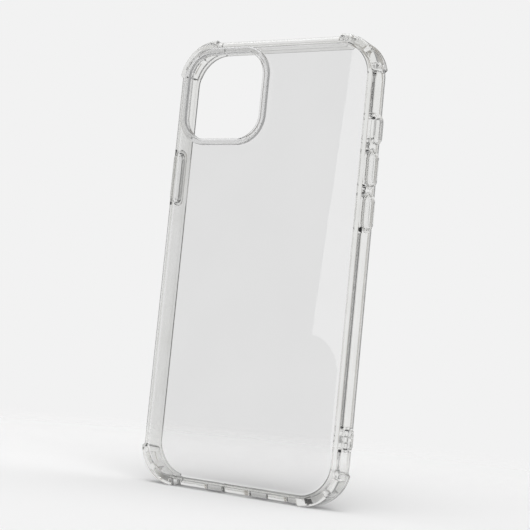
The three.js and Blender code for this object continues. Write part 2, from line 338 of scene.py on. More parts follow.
# ---- Sweeping a section along a path
@dataclass(frozen=True)
class SectionPoint:
    """One point of a swept section, in millimetres outward of the path and in depth."""

    reach: float
    depth: float
    outer: float = 0.0  # 1 on the outer skin, which stands further out at the case's ends
    bulge: float = 0.0  # share of a cushion's outward growth
    rise: float = 0.0  # mm that a cushion adds to the depth
    hollow: float = 0.0  # share of an air pocket's depth


def arc(centre: Pair, radius: float, start: float, end: float, steps: int) -> list[Pair]:
    """Reach and depth of each point of a round.

    Args:
        centre: Reach and depth of the centre.
        radius: Its radius.
        start: First angle in degrees, from outward towards greater depth.
        end: Last angle in degrees.
        steps: Number of steps between them.

    Returns:
        The points in order.
    """
    turns = [math.radians(start + (end - start) * i / steps) for i in range(steps + 1)]
    return [(centre[0] + radius * math.cos(t), centre[1] + radius * math.sin(t)) for t in turns]


@dataclass(frozen=True)
class SweepPath:
    """A closed path in the X-Z plane: a rounded rectangle with fine steps round its corners."""

    outline: Outline
    corner_step: float  # mm between points round a corner
    corner_margin: float  # mm of fine steps that run on past a corner
    straight_step: float  # mm between points elsewhere

    FEWEST_STEPS = 4  # round a corner

    def _marks(self, length: float) -> list[float]:
        """Distances along a straight side of its points: fine near its ends and coarse between them."""
        margin = min(self.corner_margin, length / 2)
        fine = max(1, round(margin / self.corner_step))
        coarse = max(1, round((length - 2 * margin) / self.straight_step))
        marks = [margin * i / fine for i in range(1, fine + 1)]
        marks += [margin + (length - 2 * margin) * i / coarse for i in range(1, coarse)]
        return marks + [length - margin * i / fine for i in range(fine, 0, -1)]

    def spots(self) -> tuple[np.ndarray, np.ndarray]:
        """Places along the path and the way outward at each.

        Returns:
            Two arrays of x and z rows, in millimetres and as unit vectors.
        """
        radius = self.outline.radius
        steps = max(self.FEWEST_STEPS, round(QUARTER * radius / self.corner_step))
        corners = self.outline.corners()
        places, ways = [], []
        for number, (u, v, start) in enumerate(corners):
            for turn in quarter_turn(steps):
                way = (math.cos(start + turn), math.sin(start + turn))
                places.append((u + radius * way[0], v + radius * way[1]))
                ways.append(way)
            next_u, next_v, _ = corners[(number + 1) % len(corners)]
            way = (round(way[0]), round(way[1]))
            length = math.dist((u, v), (next_u, next_v))
            for share in (mark / length for mark in self._marks(length)):
                on_line = (u + (next_u - u) * share, v + (next_v - v) * share)
                places.append((on_line[0] + radius * way[0], on_line[1] + radius * way[1]))
                ways.append(way)
        return np.array(places), np.array(ways)


@dataclass(frozen=True)
class Cushioning:
    """How a swept rim swells at its corners and is hollowed there, in millimetres."""

    centre: Pair = (0.0, 0.0)  # x and z of the middle of the rim
    side_end: float = 1e4  # height from the middle at which the cushions start on the sides
    end_end: float = 1e4  # distance from the middle at which they start on the ends
    corner: Pair = (0.0, 0.0)  # centre of a corner's round, from the middle
    proud: float = 0.0
    ramp: float = 0.9  # length of the slope from the wall to the cushion
    slant: float = 0.15  # mm that a cushion's end moves for each mm of depth
    slant_depth: float = 0.0
    pocket_depth: float = 0.0
    pocket_margin: float = 2.0
    pocket_edge: float = 0.35  # width of a pocket's steep sides
    rib: float = 1.6

    def sizes(self, floor_y: float) -> dict[str, object]:
        """The sweep tree's inputs, in metres, for a floor at the given Y in millimetres."""
        made: dict[str, object] = {}
        for name, value in vars(self).items():
            is_place = isinstance(value, tuple)
            made[socket_name(name)] = (value[0] * MM, 0.0, value[1] * MM) if is_place else value * MM
        return {**made, "Slant": self.slant, "Slant Depth": (self.slant_depth + floor_y) * MM}


def socket_name(name: str) -> str:
    """A field's name, written as the name of a node tree's input."""
    return name.replace("_", " ").title()


class RimSweep:
    """A Geometry Nodes tree that sweeps a closed section round a closed path, and cushions its corners."""

    def __init__(self) -> None:
        """Builds the tree with its named inputs."""
        self.tree = bpy.data.node_groups.new("cushioned_rim_sweep", "GeometryNodeTree")
        sockets = self.tree.interface
        for way in ("INPUT", "OUTPUT"):
            sockets.new_socket("Geometry", in_out=way, socket_type="NodeSocketGeometry")
        kinds = {socket_name(f.name): "Float" if f.type is float else "Vector" for f in fields(Cushioning)}
        self.sockets = {
            name: sockets.new_socket(name, in_out="INPUT", socket_type="NodeSocket" + kind).identifier
            for name, kind in {"Section": "Object", **kinds, "Material": "Material"}.items()
        }
        self.add = partial(add_node, self.tree)
        self.calc = partial(math_node, self.tree)
        self.vector = partial(vector_node, self.tree)
        self.given = self.add("NodeGroupInput").outputs
        self._build()

    def _named(self, name: str, kind: str = "FLOAT") -> NodeSocket:
        """Reads a named attribute."""
        node = self.add("GeometryNodeInputNamedAttribute", {"Name": name}, data_type=kind)
        return node.outputs["Attribute"]

    def _eased(self, value: NodeSocket, low: object, width: object) -> NodeSocket:
        """Eases a value from 0 at low to 1 one width above it."""
        high = self.calc("ADD", low, width)
        inputs = {"Value": value, "From Min": low, "From Max": high, "To Min": 0.0, "To Max": 1.0}
        node = self.add("ShaderNodeMapRange", inputs, interpolation_type="SMOOTHSTEP")
        return node.outputs["Result"]

    def _inside_ends(self, away: NodeSocket) -> NodeSocket:
        """How far past a cushion's nearer end a place is, from its way from the middle."""
        parts = split(self.tree, away)
        past_side = self.calc("SUBTRACT", parts["Z"], self.given["Side End"])
        past_end = self.calc("SUBTRACT", parts["X"], self.given["End End"])
        return self.calc("MINIMUM", past_side, past_end)

    def _beside_rib(self, away: NodeSocket) -> NodeSocket:
        """How clear of its corner's rib a place is, as a share."""
        parts = split(self.tree, self.vector("SUBTRACT", away, self.given["Corner"]))
        across = self.calc("ABSOLUTE", self.calc("SUBTRACT", parts["X"], parts["Z"]))
        from_apex = self.calc("DIVIDE", across, math.sqrt(2))
        half_rib = self.calc("DIVIDE", self.given["Rib"], 2.0)
        return self._eased(from_apex, half_rib, self.given["Pocket Edge"])

    def _build(self) -> None:
        """Adds the sweep, where the cushions and pockets are, and where each point goes."""
        add, calc, vector, given = self.add, self.calc, self.vector, self.given
        path = add("GeometryNodeMeshToCurve", {"Mesh": given["Geometry"]})
        section = add("GeometryNodeObjectInfo", {"Object": given["Section"]})
        profile = add("GeometryNodeMeshToCurve", {"Mesh": section.outputs["Geometry"]})
        curves = {"Curve": path.outputs["Curve"], "Profile Curve": profile.outputs["Curve"]}
        sweep = add("GeometryNodeCurveToMesh", curves)
        out, depth = self._named("out", "FLOAT_VECTOR"), self._named("depth")
        lifted = vector("SCALE", self._named("lift", "FLOAT_VECTOR"), self._named("outer"))
        base = vector("ADD", self._named("spot", "FLOAT_VECTOR"), lifted)
        own = vector("ADD", base, vector("SCALE", out, self._named("reach")))
        away = vector("ABSOLUTE", vector("SUBTRACT", own, given["Centre"]))
        nearest = self._inside_ends(away)
        below = calc("SUBTRACT", given["Slant Depth"], depth)
        inside = calc("ADD", nearest, calc("MULTIPLY", below, given["Slant"]))
        cushion = self._eased(inside, 0.0, given["Ramp"])
        in_end = self._eased(nearest, given["Pocket Margin"], given["Pocket Edge"])
        pocket = calc("MULTIPLY", self._beside_rib(away), in_end)
        most_grown = calc("MULTIPLY", self._named("bulge"), given["Proud"])
        most_hollow = calc("MULTIPLY", self._named("hollow"), given["Pocket Depth"])
        hollowed = calc("MULTIPLY", most_hollow, pocket)
        swell = calc("MULTIPLY_ADD", most_grown, cushion, hollowed)
        deeper = calc("MULTIPLY_ADD", self._named("rise"), cushion, depth)
        shift = add("ShaderNodeCombineXYZ", {"Y": deeper}).outputs[0]
        swollen = vector("ADD", own, vector("SCALE", out, swell))
        moved = {"Geometry": sweep.outputs["Mesh"], "Position": vector("ADD", swollen, shift)}
        placed = add("GeometryNodeSetPosition", moved)
        real = add("GeometryNodeRealizeInstances", {"Geometry": placed.outputs["Geometry"]})
        dress = {"Geometry": real.outputs["Geometry"], "Material": given["Material"]}
        dressed = add("GeometryNodeSetMaterial", dress)
        add("NodeGroupOutput", {"Geometry": dressed.outputs["Geometry"]})

    @staticmethod
    def _edge_loop(name: str, places: np.ndarray, values: Iterable[tuple[str, np.ndarray]]) -> Object:
        """A closed loop of edges at places in metres, with named values on its points."""
        mesh = bpy.data.meshes.new(name)
        count = len(places)
        mesh.from_pydata(places.tolist(), [(i, (i + 1) % count) for i in range(count)], [])
        for key, numbers in values:
            kind, part = ("FLOAT_VECTOR", "vector") if numbers.ndim == 2 else ("FLOAT", "value")
            attribute = mesh.attributes.new(key, kind, "POINT")
            attribute.data.foreach_set(part, numbers.astype(np.float32).ravel())
        return new_object(name, mesh)

    def make(
        self,
        name: str,
        path: SweepPath,
        section: Sequence[SectionPoint],
        floor_y: float,
        end_extra: float,
        cushions: Cushioning,
        material: Material,
    ) -> Object:
        """Sweeps one section round one path.

        Args:
            name: The finished object's name.
            path: The path, in millimetres of the row frame.
            section: The closed section.
            floor_y: The Y that the section's depth starts from, in millimetres.
            end_extra: How much further out the outer skin stands at the ends.
            cushions: How the corners swell.
            material: The piece's material.

        Returns:
            The swept solid, as a plain mesh with its faces outward.
        """
        places, ways = path.spots()
        flat = path.outline.half_v - path.outline.radius
        lift = np.zeros((len(places), 3))
        lift[:, 2] = np.clip((places[:, 1] - path.outline.v) / flat, -1, 1) * end_extra * MM
        spots, outward = np.insert(places, 1, 0.0, axis=1) * MM, np.insert(ways, 1, 0.0, axis=1)
        loop = self._edge_loop(name, spots, zip(SWEEP_NAMES, (spots, outward, lift)))
        values = np.array([astuple(point) for point in section])
        flat_section = np.insert(values[:, :2], 2, 0.0, axis=1) * MM
        values[:, 1] += floor_y
        values[:, (0, 1, 4)] *= MM  # reach, depth and rise are lengths
        profile = self._edge_loop(name + "_section", flat_section, zip(SWEEP_NAMES[3:], values.T))
        modifier = loop.modifiers.new("sweep", "NODES")
        modifier.node_group = self.tree
        given = {"Section": profile, "Material": material, **cushions.sizes(floor_y)}
        for key, value in given.items():
            modifier[self.sockets[key]] = value
        plain_mesh(loop)
        bpy.data.objects.remove(profile)
        return cleaned(loop)


# ---- Clear plastics
@dataclass(frozen=True)
class ClearPlastic:
    """A clear moulded plastic with the faint marks that its mould leaves."""

    name: str
    tints: tuple[str, str]  # sRGB of its thinnest and its deepest tone
    ior: float
    roughness: Pair  # where the mould is most and least polished
    cloud: float  # mm across the slow changes of tone and gloss
    peel: float  # mm across the fine ripple that a mould leaves
    peel_height: float  # mm of that ripple
    shade: float  # share of a lamp's light that gets through a piece
    tone_span: Pair = (0.35, 0.7)  # span of the slow noise that goes from one tint to the other
    gloss_span: Pair = (0.3, 0.7)  # and from one roughness to the other

    @staticmethod
    def _noise(tree: NodeTree, across: float, detail: float, roughness: float) -> NodeSocket:
        """Adds noise in the piece's own space with features of a size in millimetres."""
        where = add_node(tree, "ShaderNodeTexCoord").outputs["Object"]
        inputs = {"Vector": where, "Scale": 1 / (across * MM), "Detail": detail, "Roughness": roughness}
        return add_node(tree, "ShaderNodeTexNoise", inputs).outputs["Fac"]

    def material(self) -> Material:
        """Builds the node material and returns it."""
        made = bpy.data.materials.new(self.name)
        tree = emptied(made)
        slow = self._noise(tree, self.cloud, detail=2.0, roughness=0.45)
        tone = add_node(tree, "ShaderNodeValToRGB", {"Fac": slow})
        for element, place, tint in zip(tone.color_ramp.elements, self.tone_span, self.tints):
            element.position = place
            element.color = linear(tint)
        ends = dict(zip(("From Min", "From Max", "To Min", "To Max"), (*self.gloss_span, *self.roughness)))
        gloss = add_node(tree, "ShaderNodeMapRange", {"Value": slow, **ends})
        ripple = self._noise(tree, self.peel, detail=1.0, roughness=0.4)
        relief = {"Strength": 1.0, "Distance": self.peel_height * MM, "Height": ripple}
        plastic = {
            "Base Color": tone.outputs["Color"],
            "Roughness": gloss.outputs["Result"],
            "Transmission Weight": 1.0,
            "IOR": self.ior,
            "Normal": add_node(tree, "ShaderNodeBump", relief).outputs["Normal"],
        }
        shader = add_node(tree, "ShaderNodeBsdfPrincipled", plastic)
        through = add_node(tree, "ShaderNodeBsdfTransparent", {"Color": (*(self.shade,) * 3, 1.0)})
        rays = add_node(tree, "ShaderNodeLightPath").outputs
        finish_mixed(tree, rays["Is Shadow Ray"], shader, through)
        return made


# Clear polycarbonate, injection moulded in a mirror-polished tool: hard gloss, almost no ripple.
SHEET_PLASTIC = ClearPlastic(
    name="clear_polycarbonate_moulded",
    tints=("#F4F4F4", "#F2F2F2"),
    ior=1.585,
    roughness=(0.008, 0.02),
    cloud=28.0,
    peel=9.0,
    peel_height=0.004,
    shade=0.86,
)
# Clear thermoplastic polyurethane, moulded soft: a little milkier, with a softer gloss and a finer ripple.
BUMPER_PLASTIC = ClearPlastic(
    name="clear_tpu_moulded",
    tints=("#F4F4F3", "#EDEDEB"),
    ior=1.5,
    roughness=(0.012, 0.03),
    cloud=14.0,
    peel=2.2,
    peel_height=0.003,
    shade=0.78,
)
# The same polyurethane over the buttons, where the mould is left a little less polished for grip.
BUTTON_PLASTIC = ClearPlastic(
    name="clear_tpu_button_moulded",
    tints=("#F2F2F1", "#EAEAE8"),
    ior=1.5,
    roughness=(0.02, 0.045),
    cloud=6.0,
    peel=1.4,
    peel_height=0.004,
    shade=0.75,
)


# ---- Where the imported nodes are
@dataclass(frozen=True)
class CasePlaces:
    """Planes and centres of the case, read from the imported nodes, in millimetres of the row frame."""

    centre_z: float
    floor_y: float
    back_y: float
    front_y: float
    outer_side: float
    outer_end: float

    @classmethod
    def read(cls) -> "CasePlaces":
        """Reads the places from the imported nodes."""
        sheet_low, sheet_high = node_box("back_plate")
        right_high = node_box("wall_right")[1]
        centre_z = (sheet_low[2] + sheet_high[2]) / 2
        outer_end = node_box("wall_top")[1][2] - centre_z
        return cls(centre_z, sheet_high[1], sheet_low[1], right_high[1], right_high[0], outer_end)

    @property
    def back_depth(self) -> float:
        """Depth of the sheet's outer face from the floor, which is negative."""
        return self.back_y - self.floor_y


# ---- Bumper
@dataclass
class Bumper:
    """The soft frame: walls, screen lip, cushioned corners, switch frame and strap eyelet."""

    places: CasePlaces
    side_wall: float = 1.4
    end_wall: float = 1.9
    cavity_radius: float = 13.2
    back_round: float = 1.9  # depth of the back edge's round
    back_spread: float = 3.6  # how far that round reaches in from the side
    front_round: float = 1.0
    flange: float = 1.2
    lip_thickness: float = 0.8
    lip_reach: float = 1.0
    small_round: float = 0.3
    proud: float = 0.9
    full_bulge: float = 0.8  # share of the wall's thickness at which a cushion's growth is full
    back_rise: float = 0.4
    back_rise_fade: float = 0.6  # depth either side of the floor over which that rise fades
    front_rise: float = 0.3
    front_rise_fade: float = 0.5
    side_reach: float = 10.5  # from the phone's end
    end_reach: float = 13.0  # from the phone's side
    play: float = 0.2
    pocket_depth: float = 1.4
    pocket_floor_margin: float = 1.2
    button_gap: float = 0.3
    guard_gap: float = 0.05
    mouth: float = 0.35  # how far the edges of cut-outs are eased
    boss_foot: float = 0.25  # fillet round the foot of a raised boss
    boss_root: float = 0.02  # how far that fillet starts below the wall's face
    switch_window: Triple = (2.2, 3.6, 1.2)  # half depth, half height and radius
    switch_corner: float = 2.9
    switch_edge: float = 0.6
    strap_hole: Triple = (1.3, 1.2, 0.8)  # half depth, half height and radius
    strap_bar: float = 1.5
    strap_edge: float = 0.8
    corner_step: float = 0.14  # between the sweep's points round a corner
    bottom_openings: tuple[tuple[str, float, float, float], ...] = (  # name, from x, to x and half depth
        ("port", -6.2, 6.2, 3.0),
        ("left_slot", -24.8, -12.2, 1.5),
        ("right_slot", 12.2, 21.0, 1.5),
    )
    replaced: tuple[str, ...] = (
        "wall_top", "wall_bottom", "wall_left", "wall_right",
        "corner_cushion_top_left", "corner_cushion_top_right",
        "corner_cushion_bottom_left", "corner_cushion_bottom_right",
        "switch_guard", "strap_eyelet",
    )

    BACK_POINTS = 15
    SIDE_POINTS = 12
    POCKET_POINTS = 7
    FRONT_STEPS = 8
    SMALL_STEPS = 4
    FOOT_STEPS = 3
    EDGE_STEPS = 5
    LIP_SHARES = (0.25, 0.5, 0.75)  # places across the lip's front face
    MOUTH = ((0.0, 1.0), (0.13, 0.5), (0.5, 0.13), (1.0, 0.0))  # shares of its ease, outward and inward

    @property
    def cavity(self) -> Outline:
        """The outline of the space that the phone lies in."""
        p = self.places
        half_x, half_z = p.outer_side - self.side_wall, p.outer_end - self.end_wall
        return Outline(half_x, half_z, self.cavity_radius, 0.0, p.centre_z)

    @property
    def front_depth(self) -> float:
        """Depth from the floor to the front face of the screen lip."""
        return self.places.front_y - self.places.floor_y

    @property
    def cavity_depth(self) -> float:
        """Depth from the floor to the underside of the screen lip."""
        return self.front_depth - self.lip_thickness

    def _back_edge(self) -> list[SectionPoint]:
        """The round from the joint with the back sheet to the outer side."""
        wall, spread = self.side_wall, self.back_spread
        first = math.asin((spread - wall - self.flange) / spread)
        points = []
        for turn in np.linspace(first, QUARTER, self.BACK_POINTS):
            reach = wall - spread * (1 - math.sin(turn))
            depth = self.places.back_depth + self.back_round * (1 - math.cos(turn))
            bulge = smooth_step(reach, -self.flange, wall * self.full_bulge)
            fade = 1 - smooth_step(depth, -self.back_rise_fade, self.back_rise_fade)
            rise = -self.back_rise * smooth_step(reach, -self.flange, 0.0) * fade
            points.append(SectionPoint(reach, depth, 1.0, bulge, rise))
        return points

    def _outer_side(self) -> list[SectionPoint]:
        """The outer side and the round of its front edge."""
        wall, round_, full = self.side_wall, self.front_round, self.front_rise_fade
        start, end = self.places.back_depth + self.back_round, self.front_depth - round_
        depths = np.linspace(start, end, self.SIDE_POINTS)[1:-1]
        points = [SectionPoint(wall, depth, 1.0, 1.0) for depth in depths]
        for reach, depth in arc((wall - round_, end), round_, 0, 90, self.FRONT_STEPS):
            rise = self.front_rise * smooth_step(depth, end, end + full)
            points.append(SectionPoint(reach, depth, 1.0, 1.0, rise))
        return points

    def _lip(self) -> list[SectionPoint]:
        """The lip over the phone's screen, from its front face to the cavity's inner corner."""
        r, edge, front, under = self.small_round, -self.lip_reach, self.front_depth, self.cavity_depth
        points = []
        for share in self.LIP_SHARES:
            reach = (self.side_wall - self.front_round) * (1 - share) + (edge + r) * share
            points.append(SectionPoint(reach, front, 1 - share, 1 - share, self.front_rise))
        for reach, depth in arc((edge + r, front - r), r, 90, 180, self.SMALL_STEPS):
            rise = self.front_rise * smooth_step(depth, front - r, front)
            points.append(SectionPoint(reach, depth, rise=rise))
        corners = arc((edge + r, under + r), r, 180, 270, self.SMALL_STEPS)
        corners += arc((-r, under - r), r, 90, 0, self.SMALL_STEPS)
        return points + [SectionPoint(*corner) for corner in corners]

    def _inner_side(self) -> list[SectionPoint]:
        """The inner side, with the rows that sink into the air pockets, down to the joint."""
        low, high = self.pocket_floor_margin, self.cavity_depth - self.pocket_floor_margin
        edge, r = Cushioning.pocket_edge, self.small_round
        steps = [edge * i / 3 for i in range(4)]
        points = [SectionPoint(0.0, high - s, hollow=smooth_step(s, 0.0, edge)) for s in steps]
        middle = np.linspace(high - edge, low + edge, self.POCKET_POINTS)[1:-1]
        points += [SectionPoint(0.0, depth, hollow=1.0) for depth in middle]
        points += [SectionPoint(0.0, low + s, hollow=smooth_step(s, 0.0, edge)) for s in reversed(steps)]
        corners = arc((-r, r), r, 0, -90, self.SMALL_STEPS)
        corners += [(-self.flange, 0.0), (-self.flange, self.places.back_depth * 0.5)]
        return points + [SectionPoint(*corner) for corner in corners]

    def _ring(self, sweep: RimSweep, material: Material) -> Object:
        """Sweeps the wall round the phone, without its cut-outs and standing on level cushions."""
        cavity = self.cavity
        cushions = Cushioning(
            centre=(0.0, self.places.centre_z),
            side_end=cavity.half_v - self.play - self.side_reach,
            end_end=cavity.half_u - self.play - self.end_reach,
            corner=(cavity.half_u - cavity.radius, cavity.half_v - cavity.radius),
            proud=self.proud,
            slant_depth=self.cavity_depth / 2,
            pocket_depth=self.pocket_depth,
        )
        path = SweepPath(cavity, self.corner_step, corner_margin=2.0, straight_step=3.5)
        section = [*self._back_edge(), *self._outer_side(), *self._lip(), *self._inner_side()]
        extra = self.end_wall - self.side_wall
        ring = sweep.make("bumper_shell", path, section, self.places.floor_y, extra, cushions, material)
        foot = node_box("corner_cushion_bottom_right")[0][2]
        crown = node_box("corner_cushion_top_right")[1][2]
        return levelled(ring, foot * MM, crown * MM)

    def build(self, sweep: RimSweep, material: Material, guard: Outline) -> None:
        """Makes the whole bumper and seats it.

        Args:
            sweep: The sweep's node tree.
            material: The bumper's material.
            guard: The outer outline of the camera guard, which the bumper makes room for.
        """
        body = self._ring(sweep, material)
        switch, eyelet = Outline.of_node("switch_guard"), Outline.of_node("strap_eyelet")
        switch = replace(switch, radius=self.switch_corner)
        combine(body, self._boss("switch_guard", switch, self.switch_edge), "UNION")
        combine(body, self._boss("strap_eyelet", eyelet, self.strap_edge), "UNION")
        for tool in (*self._wall_cuts(), *self._bottom_cuts(), self._guard_room(guard)):
            combine(body, tool, "DIFFERENCE")
        seat(polished(cleaned(body), material), Body.SHELL, self.replaced)

    def _guard_room(self, guard: Outline) -> Object:
        """The space over the back face that the camera guard takes."""
        room, back = guard.grown(self.guard_gap), self.places.back_y
        return stack("guard_room", Along.Y, [(room, back - OVERRUN), (room, back)])

    def _boss(self, node: str, outline: Outline, edge: float) -> Object:
        """A boss on the right wall, as proud as its node, with a filleted foot and a rounded top edge."""
        wall, foot, top = self.places.outer_side, self.boss_foot, node_box(node)[1][0]
        wide = outline.grown(foot)
        levels = [(wide, wall - self.side_wall / 2), (wide, wall - self.boss_root)]
        for turn in quarter_turn(self.FOOT_STEPS)[1:]:
            levels.append((outline.grown(foot * (1 - math.sin(turn))), wall + foot * (1 - math.cos(turn))))
        levels += outline.rounded_top(top, edge, self.EDGE_STEPS)
        return stack(node + "_tool", Along.X, levels)

    def _eased_hole(
        self, name: str, along: Along, outline: Outline, face: float, inner: float, steps: int = 10
    ) -> Object:
        """The tool for a hole through a wall with an eased mouth.

        Args:
            name: The hole's name.
            along: The axis that it runs along.
            outline: Its outline.
            face: Level of the face that its mouth opens in.
            inner: Level of the wall's inner face.
            steps: Steps in each quarter turn of the outline.

        Returns:
            The tool, through the whole wall.
        """
        ease, out = self.mouth, 1 if face > inner else -1
        levels = [(outline, inner - out * OVERRUN), (outline.grown(ease), face + out * OVERRUN)]
        for spread, sunk in self.MOUTH:
            levels.append((outline.grown(ease * spread), face - out * ease * sunk))
        return stack(name + "_tool", along, sorted(levels, key=lambda pair: pair[1]), steps)

    def _wall_cuts(self) -> list[Object]:
        """The openings in the side walls: switch window, strap holes and button openings."""
        inner = self.places.outer_side - self.side_wall
        switch, eyelet = Outline.of_node("switch_guard"), Outline.of_node("strap_eyelet")
        switch_top, eyelet_top = (node_box(node)[1][0] for node in ("switch_guard", "strap_eyelet"))
        window = Outline(*self.switch_window, switch.u, switch.v)
        cuts = [self._eased_hole("switch_window", Along.X, window, switch_top, inner)]
        from_bar = self.strap_bar / 2 + self.strap_hole[1]
        for name, way in (("lower", -1), ("upper", 1)):
            hole = Outline(*self.strap_hole, eyelet.u, eyelet.v + way * from_bar)
            cuts.append(self._eased_hole(name + "_strap_hole", Along.X, hole, eyelet_top, inner))
        covers = button_covers(self.places)
        return cuts + [cover.opening(self.side_wall, self.button_gap) for cover in covers]

    def _bottom_cuts(self) -> list[Object]:
        """The charging port and the two speaker slots through the bottom wall."""
        depth = Outline.of_node("button_power").u
        outer = self.places.centre_z - self.places.outer_end
        made = []
        for name, low, high, half in self.bottom_openings:
            outline = Outline((high - low) / 2, half, half, (low + high) / 2, depth)
            made.append(self._eased_hole(name, Along.Z, outline, outer, outer + self.end_wall, steps=12))
        return made


# ---- Button covers
@dataclass
class ButtonCover:
    """A soft pad over one of the phone's buttons, on the thin web that lets it be pressed."""

    node: str
    piece_name: str
    body: Body
    side: int  # 1 on the right wall, -1 on the left
    wall_face: float  # distance of the wall's outer face from the middle
    web_flange: float = 0.9
    web: float = 0.5
    edge_round: float = 0.7
    recess_rim: float = 0.9
    recess_depth: float = 0.8
    soft: float = 0.12  # easing of the edges that don't show
    foot: float = 0.18  # fillet between web and pad
    belly: float = 0.3  # share of a round's size at its middle point
    mouth: float = 0.2  # easing of the wall's opening
    dish: float = 0.08  # hollow of the pad's face
    dish_rings: tuple[Pair, ...] = ((0.35, 0.25), (0.8, 0.8), (1.3, 1.0))  # mm in, share

    EDGE_STEPS = 7

    def _places(self) -> tuple[Outline, float, float]:
        """The pad's outline, and how far its inner and outer faces are from the middle."""
        low, high = node_box(self.node)
        near, far = sorted((abs(low[0]), abs(high[0])))
        return Outline.of_node(self.node, self.web_flange), near, far

    def _stack(self, name: str, levels: Sequence[tuple[Outline, float]]) -> Object:
        """A stack of outlines on this cover's side, with levels as distances from the middle."""
        return stack(name, Along.X, [(outline, self.side * level) for outline, level in levels], steps=14)

    def build(self, material: Material) -> None:
        """Makes the cover from its material and seats it."""
        pad, near, far = self._places()
        soft, foot, belly, edge = self.soft, self.foot, self.foot * self.belly, self.edge_round
        rim, hollow = pad.grown(self.web_flange), pad.grown(-self.recess_rim)
        web_top, recess = near + self.web, near + self.recess_depth
        levels = [(hollow.grown(-soft), recess), (hollow, recess - soft), (hollow, near + soft)]
        levels += [(hollow.grown(soft), near), (rim.grown(-soft), near), (rim, near + soft)]
        levels += [(rim, web_top - soft), (rim.grown(-soft), web_top), (pad.grown(foot), web_top)]
        levels += [(pad.grown(belly), web_top + belly), (pad, web_top + foot)]
        levels += pad.rounded_top(far, edge, self.EDGE_STEPS)
        for inward, share in self.dish_rings:
            levels.append((pad.grown(-edge - inward), far - self.dish * share))
        cover = polished(self._stack(self.piece_name, levels), material)
        seat(cover, self.body, [self.node])

    def opening(self, wall: float, gap: float) -> Object:
        """The tool for the stepped opening, with a gap round the cover, in a wall of a thickness."""
        pad, near, _ = self._places()
        step, ease, face = near + self.web + gap, self.mouth, self.wall_face
        belly = ease * self.belly
        hole, pocket = pad.grown(gap), pad.grown(self.web_flange + gap)
        levels = [(pocket, face - wall - OVERRUN), (pocket, step), (hole, step), (hole, face - ease)]
        wide = hole.grown(ease)
        levels += [(hole.grown(belly), face - belly), (wide, face), (wide, face + OVERRUN)]
        return self._stack(self.piece_name + "_opening_tool", levels)


def button_covers(places: CasePlaces) -> list[ButtonCover]:
    """The three covers: two for the volume on the right wall and one for the power button on the left."""
    face = places.outer_side
    return [
        ButtonCover("button_volume_up", "volume_up_cover", Body.VOLUME_UP, 1, face),
        ButtonCover("button_volume_down", "volume_down_cover", Body.VOLUME_DOWN, 1, face),
        ButtonCover("button_power", "power_cover", Body.POWER, -1, face),
    ]


# ---- Back sheet and camera guard
@dataclass
class CameraGuard:
    """The raised border round the camera opening, with the collar that lines the opening."""

    places: CasePlaces
    brim: float = 2.3
    corner_radius: float = 8.8
    collar: float = 0.7
    outer_round: float = 0.8
    inner_round: float = 0.5
    foot_round: float = 0.25
    seat_gap: float = 0.02
    brim_ease: float = 0.08  # bevels of the brim's foot and of the collar's outer and inner edges
    collar_ease: float = 0.1
    lining_ease: float = 0.15

    INNER_STEPS = 6
    OUTER_STEPS = 9

    @property
    def opening(self) -> Outline:
        """The outline of the opening."""
        low, high = node_box("camera_guard")
        half, middle = (high - low) / 2 - self.brim, (low + high) / 2
        return Outline(half[0], half[2], self.corner_radius, middle[0], middle[2])

    def section(self) -> list[SectionPoint]:
        """The guard's closed section: brim on the back sheet, collar through it."""
        low = node_box("camera_guard")[0][1] - self.places.floor_y
        rest = self.places.back_depth - self.seat_gap
        b, o, i, c = self.brim, self.outer_round, self.inner_round, self.collar
        corners = arc((i, low + i), i, 180, 270, self.INNER_STEPS)
        corners += arc((b - o, low + o), o, 270, 360, self.OUTER_STEPS)
        corners += [(b, rest - self.brim_ease), (b - self.brim_ease, rest), (c + self.foot_round, rest)]
        corners += [(c, rest), (c, rest / 2), (c, -self.collar_ease), (c - self.collar_ease, 0.0)]
        corners += [(self.lining_ease, 0.0), (0.0, -self.lining_ease), (0.0, rest / 2)]
        return [SectionPoint(*corner) for corner in corners]

    def build(self, sweep: RimSweep, material: Material) -> None:
        """Makes the guard with the sweep's node tree and seats it."""
        path = SweepPath(self.opening, corner_step=0.5, corner_margin=0.5, straight_step=4.0)
        floor_y, section = self.places.floor_y, self.section()
        ring = sweep.make("camera_guard_ring", path, section, floor_y, 0.0, Cushioning(), material)
        seat(polished(ring, material), Body.SHELL, ["camera_guard"])


@dataclass
class BackSheet:
    """The hard clear sheet behind the phone."""

    places: CasePlaces
    bumper: Bumper
    guard: CameraGuard
    joint: float = 0.02  # gap to the bumper's rim and to the guard's collar
    rounding: Triple = (0.0, 0.35, 0.7)  # how far in from its rim the rings of its rounded edge are

    def build(self, material: Material) -> None:
        """Makes the sheet from its material and seats it."""
        b, p = self.bumper, self.places
        rim = b.cavity.grown(-b.flange - self.joint)
        levels = [(rim, p.floor_y), (rim, (p.floor_y + p.back_y) / 2)]
        edge = b.side_wall + b.flange + self.joint
        for inward in (*self.rounding, b.back_spread - edge):
            share = (b.back_spread - edge - inward) / b.back_spread
            levels.append((rim.grown(-inward), p.back_y + b.back_round * (1 - math.sqrt(1 - share**2))))
        sheet = stack("back_sheet", Along.Y, levels, steps=28)
        hole = self.guard.opening.grown(self.guard.collar + self.joint)
        through = [(hole, p.back_y - OVERRUN), (hole, p.floor_y + OVERRUN)]
        combine(sheet, stack("camera_opening_tool", Along.Y, through, steps=24), "DIFFERENCE")
        seat(polished(cleaned(sheet), material), Body.SHELL, ["back_plate"])


